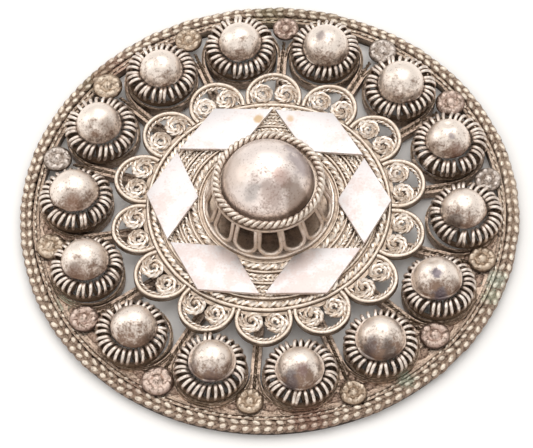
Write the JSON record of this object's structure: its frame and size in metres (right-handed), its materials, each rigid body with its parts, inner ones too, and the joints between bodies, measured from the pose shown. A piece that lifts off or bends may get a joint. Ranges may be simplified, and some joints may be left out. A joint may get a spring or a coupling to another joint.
{
  "type": "round silver filigree brooch",
  "caption": "Round filigree brooch: rope-edged rim, coiled wire knobs with half-ball domes, petalled disc with a lozenge star and a raised domed crown.",
  "frame": {"origin": "centre of the round back, on the plane that the rim's underside rests on", "axes": "+Z out of the front face, +X to the wearer's view right as pictured, +Y to the top of the picture"},
  "size_m": [0.0498, 0.0498, 0.0109],
  "materials": {
    "rim_silver": "aged silver rope wire, olive-brown tarnish in the hollows, rubbed bright on the strands",
    "frame_silver": "solder and strip silver, brown tarnish",
    "coil_silver": "drawn silver wire, bright on the outside of the turns, dark between them",
    "dome_silver": "pressed silver sheet, softly polished, brown tarnish low down and small dark pits",
    "rosette_silver": "cast silver grains, brown and pink tarnish",
    "petal_silver": "silver strip and twisted wire, rubbed bright on the edges",
    "disc_silver": "twisted silver wire on sheet, brown tarnish between the wires",
    "lozenge_silver": "flat silver sheet, white and finely scratched"
  },
  "bodies": {
    "root": {"rim": "rim_silver", "cell_frame": "frame_silver", "knob_collar_01": "coil_silver", "knob_collar_02": "coil_silver", "knob_collar_03": "coil_silver", "knob_collar_04": "coil_silver", "knob_collar_05": "coil_silver", "knob_collar_06": "coil_silver", "knob_collar_07": "coil_silver", "knob_collar_08": "coil_silver", "knob_collar_09": "coil_silver", "knob_collar_10": "coil_silver", "knob_collar_11": "coil_silver", "knob_collar_12": "coil_silver", "knob_collar_13": "coil_silver", "knob_collar_14": "coil_silver", "knob_dome_01": "dome_silver", "knob_dome_02": "dome_silver", "knob_dome_03": "dome_silver", "knob_dome_04": "dome_silver", "knob_dome_05": "dome_silver", "knob_dome_06": "dome_silver", "knob_dome_07": "dome_silver", "knob_dome_08": "dome_silver", "knob_dome_09": "dome_silver", "knob_dome_10": "dome_silver", "knob_dome_11": "dome_silver", "knob_dome_12": "dome_silver", "knob_dome_13": "dome_silver", "knob_dome_14": "dome_silver", "rosette_01": "rosette_silver", "rosette_02": "rosette_silver", "rosette_03": "rosette_silver", "rosette_04": "rosette_silver", "rosette_05": "rosette_silver", "rosette_06": "rosette_silver", "rosette_07": "rosette_silver", "rosette_08": "rosette_silver", "rosette_09": "rosette_silver", "rosette_10": "rosette_silver", "rosette_11": "rosette_silver", "rosette_12": "rosette_silver", "rosette_13": "rosette_silver", "rosette_14": "rosette_silver", "petal_border": "petal_silver", "centre_disc": "disc_silver", "star_lozenge_1": "lozenge_silver", "star_lozenge_2": "lozenge_silver", "star_lozenge_3": "lozenge_silver", "star_lozenge_4": "lozenge_silver", "star_lozenge_5": "lozenge_silver", "star_lozenge_6": "lozenge_silver", "gallery": "disc_silver", "rope_ring": "petal_silver", "crown_dome": "dome_silver", "back_pin": "frame_silver"}
  },
  "joints": []
}
